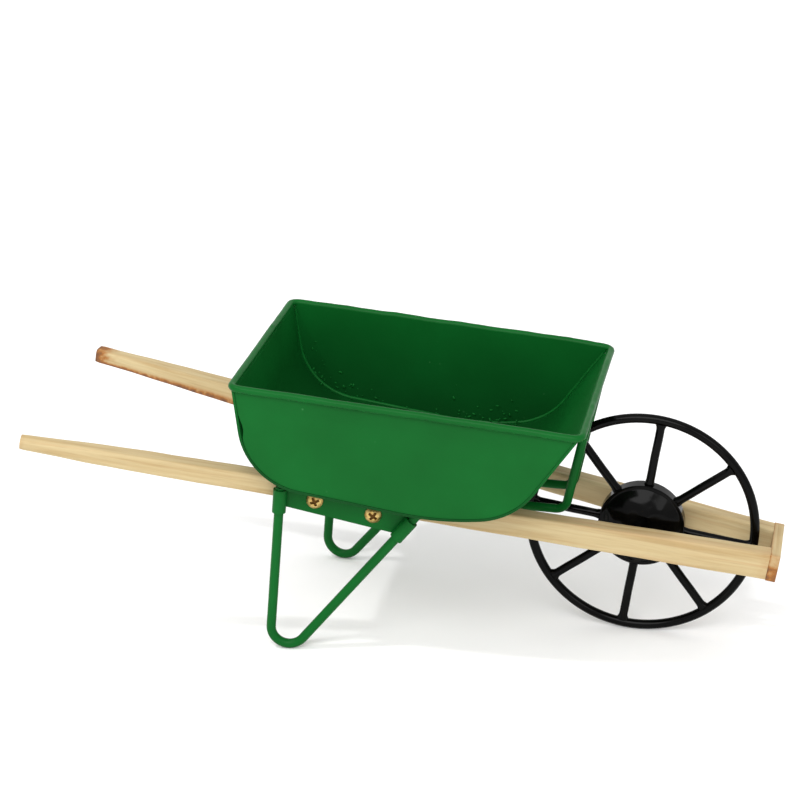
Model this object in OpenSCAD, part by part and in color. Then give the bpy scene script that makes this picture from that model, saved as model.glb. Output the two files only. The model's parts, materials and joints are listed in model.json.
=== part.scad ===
// Miniature garden barrow: two wooden shafts, a sheet-metal tray, wire legs and a spoked wheel.
// Millimetres. +X points forward to the wheel, +Z up, origin on the ground under the middle.

/* [Overall] */
// Length from the handle ends to the front of the crosspiece
overall_length = 141.4; // [115:0.1:172]
// Distance between the centres of the two handle ends
handle_spread = 48.4; // [40:0.1:60]
// Height of the handle ends' centres above the ground
handle_height = 39.8; // [36:0.1:46]
// Room between the wheel and the crosspiece, not counting the crosspiece's tilt
nose_gap = 2.5; // [1.5:0.1:8]
// Clearance between the wheel and the tray
wheel_gap = 0.45; // [0.35:0.05:3]

/* [Shafts] */
// Width of each shaft, seen from above
shaft_w = 3.9; // [3.2:0.1:4.8]
// Depth of each shaft at the crosspiece
shaft_front_h = 5.4; // [4.6:0.1:6.6]
// Depth of each shaft where it meets the handle end
shaft_rear_h = 3.0; // [2.6:0.1:3.6]
// Diameter of the round handle end
grip_d = 3.1; // [2.6:0.1:3.6]
// Length over which the square shaft is rounded off towards the handle end
grip_length = 30; // [20:1:36]

/* [Crosspiece] */
// Length of the crosspiece, which is also the width over both shafts at the nose
cross_length = 15.4; // [14.5:0.1:20]
// Thickness of the crosspiece
cross_t = 1.9; // [1.4:0.1:2.6]
// Depth of the crosspiece
cross_h = 5.3; // [4.6:0.1:6.6]

/* [Wheel] */
// Outer diameter of the wheel
wheel_d = 44.6; // [37:0.1:54]
// Diameter of the bar that the rim is bent from
rim_bar_d = 1.8; // [1.4:0.1:2.2]
// Diameter of each spoke
spoke_d = 1.65; // [1.2:0.05:2]
// How deep each spoke sits in the hub disc
spoke_bite = 4.4; // [3:0.1:5]
// Angle of the spokes above the forward direction
spoke_phase = 36.7; // [0:0.1:45]
// Diameter of the hub
hub_d = 16.4; // [14:0.1:19]
// Thickness of the hub disc that holds the spokes
hub_disc_t = 2.3; // [2.2:0.1:2.8]
// How far each domed hub cap rises above the hub disc
hub_dome_h = 2.5; // [1.6:0.1:3]
// Width of the flat lip around each hub cap
hub_lip = 0.6; // [0.3:0.1:1.2]
// Thickness of that lip
hub_lip_t = 0.35; // [0.2:0.05:0.6]
// Diameter of the hub's nose, which keeps the wheel between the shafts
nose_d = 3.2; // [2.8:0.1:4]
// Diameter of the axle pin
axle_d = 1.5; // [1.2:0.05:1.9]
// How deep each end of the axle pin sits in its shaft
axle_bite = 1.7; // [1.2:0.1:2.4]
// Radial running clearance between the hub and the axle pin
axle_play = 0.05; // [0.02:0.01:0.1]
// End clearance between the hub's nose and each shaft
nose_play = 0.3; // [0.2:0.05:0.5]

/* [Tray] */
// Width over the two side panels
tray_w = 48.8; // [40:0.1:60]
// Thickness of the sheet metal
sheet_t = 0.5; // [0.4:0.05:0.7]
// Length of the flat part of the floor, which rests on the shafts
floor_length = 18.8; // [15:0.1:23]
// Radius of the bend between the rear wall and the floor
rear_bend_r = 13.1; // [9:0.1:16]
// How far the rear wall leans back from square to the floor
rear_lean = 15.4; // [8:0.1:24]
// Radius of the belly in front of the flat floor
belly_r = 56.5; // [40:0.5:80]
// Angle that the belly turns through
belly_turn = 15.6; // [10:0.1:18]
// Radius of the bend between the belly and the front wall
front_bend_r = 14.2; // [11:0.1:17]
// How far the front wall leans forward from square to the floor
front_lean = 26.8; // [22:0.1:34]
// Height of the rim above the floor at the rear
rear_rim_h = 18.1; // [16:0.1:22]
// Height of the rim above the floor at the front
front_rim_h = 22.2; // [19:0.1:26]
// Diameter of the bead rolled around the rim
bead_d = 1.4; // [1.1:0.05:1.8]
// How far the bead stands proud of the sheet's inner side
bead_lap = 0.08; // [0.04:0.01:0.15]
// Radius of the rim's corners, to the middle of the bead
bead_corner_r = 1.7; // [1.2:0.1:3]

/* [Legs] */
// How far the middle of the feet stands behind the rear end of the flat floor
leg_behind = 2.35; // [1:0.05:4]
// How much further forward the left foot stands than the right one
leg_stagger = 1.6; // [0:0.1:2]
// Diameter of the leg rod
leg_rod_d = 1.8; // [1.4:0.05:2.2]
// Radius of the foot's bend, to the middle of the rod
foot_r = 3.4; // [2.6:0.1:4.4]
// Angle of the rear rod, measured from the ground behind it
rear_rod_angle = 94.5; // [90:0.5:100]
// Angle of the front rod above the ground
front_rod_angle = 50.2; // [46:0.2:54]
// Gap between the rods' upper ends and the tray's floor
rod_gap = 0.25; // [0.15:0.05:0.6]

/* [Brackets] */
// Thickness of each bracket plate
plate_t = 0.4; // [0.3:0.05:0.6]
// Slope of each plate's lower edge, down towards the front
plate_slope = 13.8; // [10:0.1:16]
// How far each plate's lower rear corner hangs below the shaft
plate_drop = 1.45; // [1:0.05:2]
// Distance from the plate's lower edge up to the screws' centres
screw_up = 2.65; // [2.2:0.05:3]
// Distance between the two screws of one bracket
screw_pitch = 10.8; // [9:0.1:12]
// Distance from the rear end of the flat floor forward to the rear screw
screw_ahead = 1.8; // [1:0.1:3]
// Width of the flange that carries the tray's floor
flange_w = 2.6; // [1.8:0.1:3]
// Length of that flange
flange_length = 16.5; // [12:0.1:20]
// Gap between each rod and its plate, inside the sleeves
rod_off = 0.06; // [0.03:0.01:0.1]
// Length of the sleeves curled around the rods
sleeve_length = 4.6; // [3.5:0.1:5]
// How far the sleeves start below the plate's lower edge
sleeve_low = 0.4; // [0:0.1:0.8]

/* [Screws] */
// Diameter of the screw heads
screw_head_d = 3.2; // [2.6:0.1:3.6]
// Height of the screw heads
screw_head_h = 0.95; // [0.7:0.05:1.3]
// Height of the straight edge around each screw head
screw_edge = 0.15; // [0.1:0.05:0.3]
// Diameter of the screws' shanks
screw_shank_d = 1.3; // [1:0.05:1.5]
// How far the screws bite into the shafts
screw_bite = 2.6; // [1.8:0.1:3]
// Width of the arms of the cross recess
recess_w = 0.45; // [0.3:0.05:0.6]
// Length of the arms of the cross recess, from end to end
recess_l = 1.85; // [1.4:0.05:2.2]
// Depth of the cross recess
recess_depth = 0.55; // [0.3:0.05:0.7]
// How far the cross recess is turned
recess_turn = 20; // [0:1:89]

/* [Front supports] */
// Distance between the middles of the two support rods
support_gap = 11.4; // [9:0.1:12]
// Diameter of each support rod
support_d = 1.7; // [1.3:0.1:1.9]
// Radius of the support rods' bends, to the middle of the rod
support_bend_r = 2.2; // [1.6:0.1:3]
// How far behind the front bead each support rod's corner is
support_back = 1.6; // [0.5:0.1:3]
// How far the support rods' corner is below the floor
support_drop = 0.4; // [0:0.1:1.5]
// Length of the support rods' low run
support_run = 11; // [8:0.5:14]
// Fall of the low run towards the rear, measured from the floor
support_fall = 7; // [0:0.5:10]
// Rise of the support rods' rear end towards the belly, measured from the floor
support_rise = 17; // [12:0.5:25]

/* [Hidden] */
$fn = 64;
ARC_FN = 144;
BIG = 200;
// Drawing a bar round a bend thins it a little, and each straight runs this far into the bend.
BEND_DRAW = 0.02;
BEND_LAP = 0.05;
// The tray's round stretches stand this far out and run this much further round, so that they
// cross the stretches beside them instead of only touching them.
ARC_OUT = 0.01;
ARC_ON = 3;
// How far the pie slices that cut the arcs out reach, in radii of the arc.
PIE_REACH = 1.5;
// How much wider than the bar the handle's cone ends, so that it leaves the bar there.
GRIP_SPARE = 1.1;

wheel_r = wheel_d / 2;
axle_to_nose = wheel_r + nose_gap + cross_t;
axle_x = overall_length / 2 - axle_to_nose;
axle_z = wheel_r;
rim_ring_r = wheel_r - rim_bar_d / 2;

// The shafts' centreline runs through the axle and through the handle ends.
pitch = atan((handle_height - axle_z) / (overall_length - axle_to_nose));
tip_x = -overall_length / 2 + grip_d / 2 * sin(pitch);
cross_front_x = overall_length / 2 - cross_h / 2 * sin(pitch);
cross_back_x = cross_front_x - cross_t * cos(pitch);
tip_y = handle_spread / 2;
nose_y = (cross_length - shaft_w) / 2;
splay = atan((tip_y - nose_y) / (cross_back_x - tip_x));
taper = (shaft_front_h - shaft_rear_h) / (cross_back_x - tip_x);

function mid_z(x) = axle_z - tan(pitch) * (x - axle_x);
function shaft_h(x) = shaft_rear_h + taper * (x - tip_x);
function top_z(x) = mid_z(x) + shaft_h(x) / 2;
function under_z(x) = mid_z(x) - shaft_h(x) / 2;
function mid_y(x) = nose_y + tan(splay) * (cross_back_x - x);
function outer_y(x) = mid_y(x) + shaft_w / 2 / cos(splay);
function inner_y(x) = mid_y(x) - shaft_w / 2 / cos(splay);
floor_slope = atan(tan(pitch) - taper / 2);

// The tray's own frame: its flat floor starts at the origin and runs along +X.
function dir(a) = [cos(a), sin(a)];
rear_centre = [0, rear_bend_r];
belly_centre = [floor_length, belly_r];
front_centre = belly_centre + (belly_r - front_bend_r) * dir(belly_turn - 90);

// The floor lies on the shafts, and the wheel clears the front bend by wheel_gap.
axle_below_floor = shaft_h(axle_x) / 2 * cos(floor_slope);
axle_ahead = front_centre[0] + sqrt((front_bend_r + wheel_r + wheel_gap) ^ 2
    - (front_centre[1] + axle_below_floor) ^ 2);
floor_x = axle_x - (axle_ahead - shaft_h(axle_x) / 2 * sin(floor_slope)) * cos(floor_slope);

// The middle of the bead lies bead_out outside the sheet.
bead_r = bead_d / 2;
bead_out = bead_r - bead_lap - sheet_t;
rear_foot = rear_centre + (rear_bend_r + bead_out) * dir(180 + rear_lean);
front_foot = front_centre + (front_bend_r + bead_out) * dir(-front_lean);
rear_bead = [rear_foot[0] - (rear_rim_h - rear_foot[1]) * tan(rear_lean), rear_rim_h];
front_bead = [front_foot[0] + (front_rim_h - front_foot[1]) * tan(front_lean), front_rim_h];
rim_run = front_bead - rear_bead;
rim_slope = atan2(rim_run[1], rim_run[0]);
rim_length = norm(rim_run);
rim_half_w = tray_w / 2 + bead_out;

// Each bracket plate lies on its shaft's outer face, in a frame whose origin is beside the axle.
// In that frame +X runs forward along the shaft, -Y points outwards and Z is the true height.
function along(x) = (x - axle_x) / cos(splay);
rod_r = leg_rod_d / 2;
rod_y = -(plate_t + rod_off + rod_r);
foot_z = rod_r + foot_r;
rear_dir = dir(180 - rear_rod_angle);
front_dir = dir(front_rod_angle);
foot_half = (180 - rear_rod_angle - front_rod_angle) / 2;
foot_corner_drop = foot_r / sin(foot_half) * sin(front_rod_angle + foot_half) - foot_r;
foot_corner_shift = foot_r / sin(foot_half) * cos(front_rod_angle + foot_half);
sleeve_r = rod_r + plate_t;
plate_rise = plate_t / 2;
rod_top_drop = rod_gap + rod_r * cos(front_rod_angle);

screw_xs = [floor_x + screw_ahead, floor_x + screw_ahead + screw_pitch];
plate_rear_x = floor_x - leg_behind;
plate_rear_z = under_z(plate_rear_x) - plate_drop;
function plate_low_z(x) = plate_rear_z - tan(plate_slope) * (x - plate_rear_x);
function screw_z(x) = plate_low_z(x) + screw_up;
function foot_x(side) = floor_x - leg_behind + side * leg_stagger / 2;
function corner(side) = [along(foot_x(side)) - foot_corner_shift, rod_r - foot_corner_drop];
function on_line(p, d, z) = p + d * (z - p[1]) / d[1];
// Where the front rod meets a straight edge that is z0 high at x = 0 and falls towards the front.
rod_run = cos(splay) / tan(front_rod_angle);
function rod_meets(side, z0, slope) =
    (axle_x + corner(side)[0] * cos(splay) + rod_run * (z0 - corner(side)[1]))
        / (1 + rod_run * tan(slope));
function plate_front_x(side) = rod_meets(side, plate_low_z(0), plate_slope);
function plate_top_x(side) = rod_meets(side, top_z(0), floor_slope);

// The shafts stay deeper between these places, and slope back to their usual depth over the ramp.
pad_over = 3;
pad_ramp = 3;
pad_gap = 0.4;

// The support rods in the tray's own frame, from just under the front bead to the belly.
support_y = support_gap / 2;
support_corner = [front_bead[0] - support_back, -support_drop];
support_rear = support_corner + support_run * dir(180 + support_fall);
support_tail = 12;
support_tip_back = 0.3;
support_tip_gap = 0.4;
support_path = [
    front_bead - [support_tip_back, bead_r + support_tip_gap],
    support_corner,
    support_rear,
    support_rear + support_tail * dir(180 - support_rise)
];

hub_r = hub_d / 2;
hub_half = hub_disc_t / 2;
nose_half = inner_y(axle_x + nose_d / 2) - nose_play;
bore_r = axle_d / 2 + axle_play;
socket_r = hub_r - spoke_bite;

SPOKES = 8;

WOOD = "burlywood";
GREEN = "forestgreen";
BLACK = [0.08, 0.08, 0.08];
BRASS = "goldenrod";

// Side 1 is the left (+Y) half and side -1 the right one; every pair is drawn as the right one.
module on_side(side) {
    if (side > 0) mirror([0, 1, 0]) children();
    else children();
}

// A bar of round section through points in the XY plane, with every corner bent to one radius.
function unit(v) = v / norm(v);
function half_bend(p, i) = acos(unit(p[i - 1] - p[i]) * unit(p[i + 1] - p[i])) / 2;
function trim(p, i, r) = i == 0 || i == len(p) - 1 ? 0 : r / tan(half_bend(p, i));
function bend_centre(p, i, r) =
    p[i] + unit(unit(p[i - 1] - p[i]) + unit(p[i + 1] - p[i])) * r / sin(half_bend(p, i));
function turn_sign(a, b) = a[0] * b[1] - a[1] * b[0] > 0 ? 1 : -1;

module bent_bar(p, bar_d, r) {
    for (i = [0:len(p) - 2]) {
        run = p[i + 1] - p[i];
        from = max(0, trim(p, i, r) - BEND_LAP);
        to = norm(run) - max(0, trim(p, i + 1, r) - BEND_LAP);
        start = p[i] + unit(run) * from;
        translate([start[0], start[1], 0]) rotate([0, 90, atan2(run[1], run[0])])
            cylinder(d = bar_d, h = to - from);
    }
    for (i = [1:len(p) - 2]) {
        c = bend_centre(p, i, r);
        s = turn_sign(p[i] - p[i - 1], p[i + 1] - p[i]);
        first = p[i] + unit(p[i - 1] - p[i]) * trim(p, i, r) - c;
        last = p[i] + unit(p[i + 1] - p[i]) * trim(p, i, r) - c;
        low = s > 0 ? first : last;
        translate([c[0], c[1], 0]) rotate([0, 0, atan2(low[1], low[0])])
            rotate_extrude(angle = 180 - 2 * half_bend(p, i)) translate([r, 0])
                circle(d = bar_d - BEND_DRAW);
    }
}

// Shafts

module on_shaft_face(side) {
    on_side(side) translate([axle_x, -outer_y(axle_x), 0]) rotate([0, 0, splay]) children();
}

// The shaft seen from above, between its inner and outer faces, past both of its ends.
module shaft_plan() {
    x0 = tip_x - shaft_w;
    x1 = cross_front_x + cross_t;
    polygon([[x0, -outer_y(x0)], [x1, -outer_y(x1)], [x1, -inner_y(x1)], [x0, -inner_y(x0)]]);
}

module shaft_side() {
    x0 = tip_x - shaft_w;
    x1 = cross_front_x + cross_t;
    polygon([[x0, under_z(x0)], [x1, under_z(x1)], [x1, top_z(x1)], [x0, top_z(x0)]]);
}

// The deeper part of the shaft behind the bracket, which the screws bite into.
module shaft_pad_side() {
    x0 = screw_xs[0] - pad_over;
    x1 = screw_xs[1] + pad_over;
    polygon([
        [x0 - pad_ramp, mid_z(x0 - pad_ramp)], [x0, plate_low_z(x0) + pad_gap],
        [x1, plate_low_z(x1) + pad_gap], [x1 + pad_ramp, mid_z(x1 + pad_ramp)]
    ]);
}

module side_prism() {
    rotate([90, 0, 0]) translate([0, 0, -BIG / 2]) linear_extrude(BIG) children();
}

// Rounds the handle off: a cone that starts as the handle end and ends wider than the bar.
module grip_limits() {
    wide = GRIP_SPARE * norm([shaft_w, shaft_h(tip_x + grip_length)]);
    translate([tip_x, -tip_y, mid_z(tip_x)]) rotate([0, 0, splay]) rotate([0, 90 + pitch, 0]) {
        cylinder(d1 = grip_d, d2 = wide, h = grip_length);
        translate([-BIG / 2, -BIG / 2, grip_length]) cube(BIG);
    }
}

// Places things behind the crosspiece's front face, with +X square to it.
module on_nose() {
    translate([cross_front_x, 0, mid_z(cross_front_x)]) rotate([0, pitch, 0]) children();
}

module shaft(side) {
    color(WOOD) on_side(side) difference() {
        intersection() {
            linear_extrude(BIG) shaft_plan();
            side_prism() {
                shaft_side();
                shaft_pad_side();
            }
            grip_limits();
        }
        on_nose() translate([-cross_t, -BIG / 2, -BIG / 2]) cube(BIG);
        translate([axle_x, 0, axle_z]) rotate([90, 0, 0])
            cylinder(d = axle_d, h = inner_y(axle_x) + axle_bite);
        for (x = screw_xs) screw_place(x) cylinder(d = screw_shank_d, h = screw_bite);
    }
}

module front_crosspiece() {
    color(WOOD) on_nose() translate([-cross_t, -cross_length / 2, -cross_h / 2])
        cube([cross_t, cross_length, cross_h]);
}

// Tray

module on_floor() {
    translate([floor_x, 0, top_z(floor_x)]) rotate([0, floor_slope, 0]) rotate([90, 0, 0])
        children();
}

module pie(centre, r, a0, a1) {
    reach = PIE_REACH * r;
    intersection() {
        translate(centre) circle(r, $fn = ARC_FN);
        polygon([centre, centre + reach * dir(a0), centre + reach * dir((a0 + a1) / 2),
            centre + reach * dir(a1)]);
    }
}

// The tray's side outline, moved inwards by inset and cut off at a line parallel to the rim.
module tray_outline(inset, above_rim) {
    rear_foot_in = rear_centre + (rear_bend_r - inset) * dir(180 + rear_lean);
    front_foot_in = front_centre + (front_bend_r - inset) * dir(-front_lean);
    rise = 2 * front_rim_h;
    intersection() {
        union() {
            polygon([
                rear_foot_in + rise * dir(90 + rear_lean), rear_foot_in,
                [0, inset], [floor_length, inset],
                belly_centre + (belly_r - inset) * dir(belly_turn - 90),
                front_foot_in, front_foot_in + rise * dir(90 - front_lean)
            ]);
            pie(rear_centre, rear_bend_r - inset + ARC_OUT, 180 + rear_lean - ARC_ON, 270 + ARC_ON);
            pie(belly_centre, belly_r - inset + ARC_OUT / 2, -90 - ARC_ON, belly_turn - 90);
            pie(front_centre, front_bend_r - inset + ARC_OUT, belly_turn - 90 - ARC_ON,
                ARC_ON - front_lean);
        }
        translate(rear_bead) rotate(rim_slope) translate([-BIG / 2, above_rim - BIG]) square(BIG);
    }
}

module on_rim() {
    on_floor() translate([rear_bead[0], rear_bead[1], 0]) rotate([0, 0, rim_slope])
        rotate([-90, 0, 0]) children();
}

module bead_end(x) {
    translate([x, rim_half_w - bead_corner_r, 0]) rotate([90, 0, 0])
        cylinder(r = bead_r, h = 2 * (rim_half_w - bead_corner_r));
}

module bead_side(y) {
    translate([bead_corner_r, y, 0]) rotate([0, 90, 0])
        cylinder(r = bead_r, h = rim_length - 2 * bead_corner_r);
}

module bead_corner(x, y, a) {
    translate([x, y, 0]) rotate([0, 0, a])
        rotate_extrude(angle = 90) translate([bead_corner_r, 0]) circle(r = bead_r);
}

module rim_bead() {
    near = bead_corner_r;
    far = rim_length - bead_corner_r;
    side_y = rim_half_w - bead_corner_r;
    bead_end(0);
    bead_end(rim_length);
    bead_side(rim_half_w);
    bead_side(-rim_half_w);
    bead_corner(far, side_y, 0);
    bead_corner(near, side_y, 90);
    bead_corner(near, -side_y, 180);
    bead_corner(far, -side_y, 270);
}

module tray_rim_bead() {
    color(GREEN) on_rim() rim_bead();
}

module tray_prism(y0, y1, inset, above_rim) {
    on_floor() translate([0, 0, -y1]) linear_extrude(y1 - y0) tray_outline(inset, above_rim);
}

module tray_wrap() {
    half = tray_w / 2;
    color(GREEN) difference() {
        tray_prism(-half, half, 0, 0);
        tray_prism(-tray_w, tray_w, sheet_t, bead_d);
        on_rim() rim_bead();
    }
}

module tray_side(side) {
    half = tray_w / 2;
    color(GREEN) on_side(side) difference() {
        tray_prism(-half, sheet_t - half, sheet_t, 0);
        on_rim() rim_bead();
    }
}

// Legs and brackets

function leg_path(side) = [
    on_line(corner(side), rear_dir, top_z(foot_x(side)) - rod_top_drop),
    corner(side),
    on_line(corner(side), front_dir, top_z(plate_top_x(side)) - rod_top_drop)
];

module leg_rod(side) {
    color(GREEN) on_shaft_face(side) translate([0, rod_y, 0]) rotate([90, 0, 0])
        bent_bar(leg_path(side), leg_rod_d, foot_r);
}

// Places a bar with +Z running up one of the rods, from the given height.
module up_rod(side, d, z) {
    start = on_line(corner(side), d, z);
    translate([start[0], rod_y, start[1]]) rotate([0, 90 - atan2(d[1], d[0]), 0]) children();
}

// The plate seen from the side: it ends at both rods and reaches up past the tray's underside,
// where the tray cuts it off.
module plate_side(side) {
    s0 = on_line(corner(side), rear_dir, plate_rear_z)[0];
    x0 = axle_x + s0 * cos(splay);
    x1 = plate_front_x(side);
    top_x = plate_top_x(side);
    polygon([
        [s0, plate_low_z(x0)], [along(x1), plate_low_z(x1)],
        [along(top_x), top_z(top_x) + plate_rise], [s0, top_z(x0) + plate_rise]
    ]);
}

// The flange turned outwards from the plate's top, flat against the tray's floor.
module plate_flange(side) {
    s0 = on_line(corner(side), rear_dir, plate_rear_z)[0];
    s1 = s0 + flange_length;
    x0 = axle_x + s0 * cos(splay);
    x1 = axle_x + s1 * cos(splay);
    rotate([90, 0, 0]) linear_extrude(plate_t + flange_w)
        polygon([
            [s0, top_z(x0) - plate_t], [s1, top_z(x1) - plate_t],
            [s1, top_z(x1) + plate_rise], [s0, top_z(x0) + plate_rise]
        ]);
}

module leg_bracket(side) {
    low_rear = plate_rear_z - sleeve_low;
    low_front = plate_low_z(plate_front_x(side)) - sleeve_low;
    color(GREEN) difference() {
        on_shaft_face(side) difference() {
            union() {
                rotate([90, 0, 0]) linear_extrude(plate_t) plate_side(side);
                plate_flange(side);
                up_rod(side, rear_dir, low_rear) cylinder(r = sleeve_r, h = sleeve_length);
                up_rod(side, front_dir, low_front) cylinder(r = sleeve_r, h = sleeve_length);
            }
            for (d = [rear_dir, front_dir]) up_rod(side, d, 0) cylinder(r = rod_r, h = BIG);
        }
        tray_prism(-tray_w, tray_w, 0, 0);
        on_side(side) for (x = screw_xs) screw_place(x) translate([0, 0, -2 * plate_t])
            cylinder(d = screw_shank_d, h = 3 * plate_t);
    }
}

// Screws

// Places a screw on the shaft's outer face, with +Z pointing into the wood.
module screw_place(x) {
    translate([axle_x, -outer_y(axle_x), 0]) rotate([0, 0, splay])
        translate([along(x), 0, screw_z(x)]) rotate([-90, 0, 0]) children();
}

module screw(side, x) {
    crown_h = screw_head_h - screw_edge;
    crown_r = (screw_head_d ^ 2 / 4 + crown_h ^ 2) / (2 * crown_h);
    color(BRASS) on_side(side) screw_place(x) difference() {
        union() {
            cylinder(d = screw_shank_d, h = screw_bite);
            translate([0, 0, -plate_t]) {
                cylinder(d = screw_shank_d, h = plate_t);
                intersection() {
                    translate([0, 0, crown_r - screw_head_h]) sphere(r = crown_r, $fn = ARC_FN);
                    translate([0, 0, -screw_head_h]) cylinder(d = screw_head_d, h = screw_head_h);
                }
            }
        }
        for (a = [recess_turn, recess_turn + 90]) rotate([0, 0, a])
            translate([-recess_l / 2, -recess_w / 2, -plate_t - 2 * screw_head_h])
                cube([recess_l, recess_w, screw_head_h + recess_depth]);
    }
}

// Front supports

module front_support(side) {
    color(GREEN) on_side(side) difference() {
        on_floor() translate([0, 0, support_y]) bent_bar(support_path, support_d, support_bend_r);
        tray_prism(-tray_w / 2, tray_w / 2, 0, 0);
        on_rim() bead_end(rim_length);
    }
}

// Wheel

module on_axle() {
    translate([axle_x, 0, axle_z]) rotate([90, 0, 0]) children();
}

module axle_pin() {
    half = inner_y(axle_x) + axle_bite;
    color(BLACK) on_axle() translate([0, 0, -half]) cylinder(d = axle_d, h = 2 * half);
}

module wheel_rim() {
    color(BLACK) on_axle() rotate_extrude($fn = ARC_FN) translate([rim_ring_r, 0])
        circle(d = rim_bar_d);
}

module hub_disc() {
    color(BLACK) on_axle() difference() {
        union() {
            translate([0, 0, -hub_half]) cylinder(r = hub_r, h = hub_disc_t);
            translate([0, 0, -nose_half]) cylinder(d = nose_d, h = 2 * nose_half);
        }
        translate([0, 0, -BIG / 2]) cylinder(r = bore_r, h = BIG);
        for (i = [1:SPOKES]) spoke_line(i) translate([0, 0, socket_r])
            cylinder(d = spoke_d, h = 2 * spoke_bite);
    }
}

module spoke_line(i) {
    rotate([0, 0, spoke_phase + i * 360 / SPOKES]) rotate([0, 90, 0]) children();
}

module hub_cap(side) {
    base_r = hub_r - hub_lip;
    dome_r = (base_r ^ 2 + hub_dome_h ^ 2) / (2 * hub_dome_h);
    color(BLACK) on_side(side) on_axle() translate([0, 0, hub_half]) difference() {
        union() {
            cylinder(r = hub_r, h = hub_lip_t);
            translate([0, 0, hub_lip_t]) intersection() {
                translate([0, 0, hub_dome_h - dome_r]) sphere(r = dome_r, $fn = ARC_FN);
                cylinder(r = hub_r, h = hub_dome_h);
            }
        }
        cylinder(d = nose_d, h = BIG, center = true);
    }
}

module spoke(i) {
    color(BLACK) on_axle() difference() {
        spoke_line(i) translate([0, 0, socket_r]) cylinder(d = spoke_d, h = rim_ring_r - socket_r);
        rotate_extrude($fn = ARC_FN) translate([rim_ring_r, 0]) circle(d = rim_bar_d);
    }
}

shaft(-1);  // shaft_right
shaft(1);  // shaft_left
front_crosspiece();
tray_wrap();
tray_side(-1);  // tray_side_right
tray_side(1);  // tray_side_left
tray_rim_bead();
leg_bracket(-1);  // leg_bracket_right
leg_bracket(1);  // leg_bracket_left
leg_rod(-1);  // leg_rod_right
leg_rod(1);  // leg_rod_left
screw(-1, screw_xs[0]);  // screw_rear_right
screw(-1, screw_xs[1]);  // screw_front_right
screw(1, screw_xs[0]);  // screw_rear_left
screw(1, screw_xs[1]);  // screw_front_left
front_support(-1);  // front_support_right
front_support(1);  // front_support_left
axle_pin();
wheel_rim();
hub_disc();
hub_cap(-1);  // hub_cap_right
hub_cap(1);  // hub_cap_left
spoke(1);  // spoke_1
spoke(2);  // spoke_2
spoke(3);  // spoke_3
spoke(4);  // spoke_4
spoke(5);  // spoke_5
spoke(6);  // spoke_6
spoke(7);  // spoke_7
spoke(8);  // spoke_8
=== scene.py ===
import json
import random
from math import atan2, cos, exp, hypot, pi, radians, sin, sqrt, tan

import bmesh
import bpy
from mathutils import Matrix, Vector, noise


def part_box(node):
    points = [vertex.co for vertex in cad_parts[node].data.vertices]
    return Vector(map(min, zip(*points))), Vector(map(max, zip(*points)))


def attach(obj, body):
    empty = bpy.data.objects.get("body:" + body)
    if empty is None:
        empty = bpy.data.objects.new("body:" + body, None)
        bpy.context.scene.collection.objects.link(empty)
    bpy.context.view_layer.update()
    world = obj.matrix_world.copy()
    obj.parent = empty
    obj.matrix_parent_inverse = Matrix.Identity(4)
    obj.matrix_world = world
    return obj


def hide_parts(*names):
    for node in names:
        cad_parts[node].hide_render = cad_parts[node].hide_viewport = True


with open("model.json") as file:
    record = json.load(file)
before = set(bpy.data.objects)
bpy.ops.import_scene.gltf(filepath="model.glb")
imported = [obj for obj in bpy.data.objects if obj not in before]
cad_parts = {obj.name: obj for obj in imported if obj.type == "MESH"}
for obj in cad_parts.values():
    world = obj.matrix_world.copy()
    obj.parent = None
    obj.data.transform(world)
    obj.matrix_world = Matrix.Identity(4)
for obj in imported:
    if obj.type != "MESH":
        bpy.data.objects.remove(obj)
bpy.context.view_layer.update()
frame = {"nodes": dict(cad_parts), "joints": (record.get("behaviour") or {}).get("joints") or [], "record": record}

mm = 0.001  # shapes are drawn in millimetres and shrunk to metres at the end
scene = bpy.context.scene
scene.view_settings.view_transform = "Standard"  # colours come out as their hex values say
nodes = frame["nodes"]
mounts = {mount["name"]: mount for mount in frame["record"]["mounts"]}


def mountPlace(name):
    mount = mounts[name]
    return Vector(mount["pos_m"]) / mm, Vector(mount["axis"])


def boxOf(node):
    low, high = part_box(node)
    return Vector(low) / mm, Vector(high) / mm


def middleOf(node):
    low, high = boxOf(node)
    return (low + high) / 2


def smooth(value, start, end):
    # 0 at start, 1 at end, eased between them; start may be the larger
    t = min(1, max(0, (value - start) / (end - start)))
    return t * t * (3 - 2 * t)


def bell(distance, width):
    return exp(-(distance / width) ** 2)


def toward(angle):
    # unit vector in the XZ plane, turned up from +X
    return Vector((cos(radians(angle)), 0, sin(radians(angle))))


# Shader helpers

def linear(hexColour):
    # sRGB hex to the linear colour that a socket takes
    parts = [int(hexColour[i:i + 2], 16) / 255 for i in (1, 3, 5)]
    return [p / 12.92 if p <= 0.04045 else ((p + 0.055) / 1.055) ** 2.4 for p in parts] + [1]


def scaleFor(size):
    # a texture's scale for features of this many millimetres, on coordinates in metres
    return 1 / (size * mm)


def addNode(tree, kind, inputs=None, output=0, stops=(), **settings):
    # gives back one output; an input is a value, a hex colour or another node's output
    node = tree.nodes.new("ShaderNode" + kind)
    for name, value in settings.items():
        setattr(node, name, value)
    for name, value in (inputs or {}).items():
        if isinstance(value, bpy.types.NodeSocket):
            tree.links.new(value, node.inputs[name])
        else:
            node.inputs[name].default_value = linear(value) if isinstance(value, str) else value
    if stops:  # places along a colour ramp, each with a hex colour or a grey
        elements = node.color_ramp.elements
        for _ in stops[2:]:
            elements.new(0.5)
        for element, (place, colour) in zip(elements, stops):
            element.position = place
            element.color = linear(colour) if isinstance(colour, str) else [colour] * 3 + [1]
    return node.outputs[output] if node.outputs else node


def newMaterial(name):
    material = bpy.data.materials.new(name)
    material.use_nodes = True
    tree = material.node_tree
    tree.nodes.clear()
    return material, tree


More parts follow.
